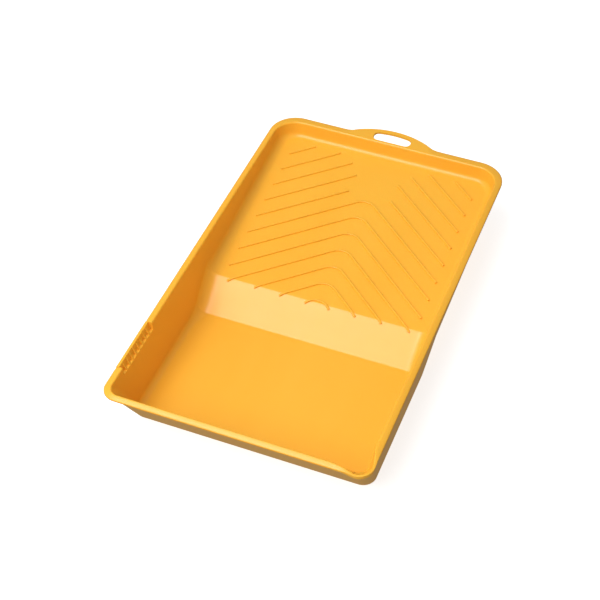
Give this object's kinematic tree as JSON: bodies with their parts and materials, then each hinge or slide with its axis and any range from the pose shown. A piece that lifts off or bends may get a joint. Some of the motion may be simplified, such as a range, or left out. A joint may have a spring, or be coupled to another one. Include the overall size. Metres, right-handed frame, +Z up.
{
  "type": "paint roller tray",
  "caption": "Moulded plastic paint roller tray with a deep paint well, a sloping ramp with raised chevron ribs, a rolled rim, a brush-wiping comb, a pouring corner and a hanging tab.",
  "frame": {"origin": "under the middle of the whole tray, tab included, on the surface it stands on", "axes": "+Z up, +Y from the deep well end towards the hanging tab, +X to the right seen from the well end; the comb is on the -X side"},
  "size_m": [0.2374, 0.4166, 0.061],
  "materials": {
    "moulded_plastic": "satin yellow-orange, with a fine moulded grain"
  },
  "bodies": {
    "root": {"well_floor": "moulded_plastic", "drop_slope": "moulded_plastic", "ramp_panel": "moulded_plastic", "front_wall": "moulded_plastic", "back_wall": "moulded_plastic", "left_wall": "moulded_plastic", "right_wall": "moulded_plastic", "front_rim": "moulded_plastic", "left_rim": "moulded_plastic", "right_rim": "moulded_plastic", "hang_tab": "moulded_plastic", "comb_pocket": "moulded_plastic", "comb_ribs": "moulded_plastic", "pour_spout": "moulded_plastic", "chevron_ribs": "moulded_plastic", "left_diagonal_ribs": "moulded_plastic", "right_diagonal_ribs": "moulded_plastic", "rear_foot_left": "moulded_plastic", "rear_foot_right": "moulded_plastic"}
  },
  "joints": []
}
